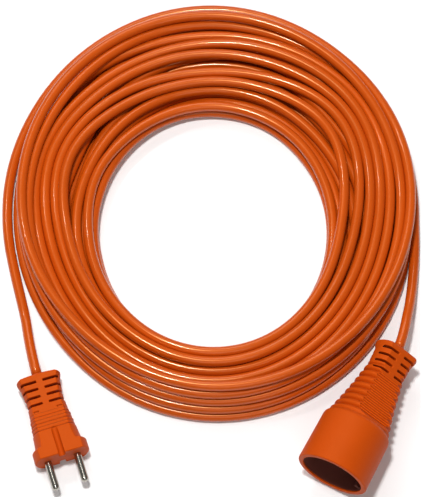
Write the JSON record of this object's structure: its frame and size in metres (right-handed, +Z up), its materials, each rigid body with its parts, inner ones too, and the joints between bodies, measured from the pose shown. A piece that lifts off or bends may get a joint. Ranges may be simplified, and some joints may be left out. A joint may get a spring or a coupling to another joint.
{
  "type": "extension cord",
  "caption": "Coiled orange two-core extension cord with a moulded contour plug with round pins and a one-way coupler socket with a deep round collar",
  "frame": {"origin": "middle of the footprint of the coiled cord set with its plug and coupler, on the surface it lies on", "axes": "+Z up from the surface; +Y away from the plug and the coupler, along the longest side of the footprint; +X from the plug's side to the coupler's side"},
  "size_m": [0.2695, 0.333, 0.0481],
  "materials": {
    "cord_orange": "glossy orange PVC sheath with fine lengthwise extrusion lines",
    "moulded_orange": "satin moulded orange PVC with a faint texture",
    "insert_dark": "smooth dark brown moulded insert",
    "carrier_pale": "plain pale moulded plastic",
    "pin_nickel": "bright nickel plating with fine turning marks",
    "contact_brass": "stamped brass",
    "spring_steel": "bright spring steel",
    "strands_copper": "bare stranded copper",
    "core_brown": "brown core insulation",
    "core_blue": "blue core insulation"
  },
  "bodies": {
    "root": {"plug_body": "moulded_orange", "plug_bridge": "carrier_pale", "plug_pin_left": "pin_nickel", "plug_pin_right": "pin_nickel", "plug_crimp_left": "contact_brass", "plug_crimp_right": "contact_brass", "plug_strands_brown": "strands_copper", "plug_strands_blue": "strands_copper", "plug_core_brown": "core_brown", "plug_core_blue": "core_blue", "plug_sheath_end": "cord_orange", "plug_lead": "cord_orange", "coil": "cord_orange", "coupler_lead": "cord_orange", "coupler_grip": "moulded_orange", "coupler_collar": "moulded_orange", "coupler_insert": "insert_dark", "coupler_face": "insert_dark", "coupler_carrier": "carrier_pale", "coupler_contact_upper": "contact_brass", "coupler_contact_lower": "contact_brass", "coupler_spring_upper": "spring_steel", "coupler_spring_lower": "spring_steel", "coupler_strands_brown": "strands_copper", "coupler_strands_blue": "strands_copper", "coupler_core_brown": "core_brown", "coupler_core_blue": "core_blue", "coupler_sheath_end": "cord_orange"}
  },
  "joints": []
}
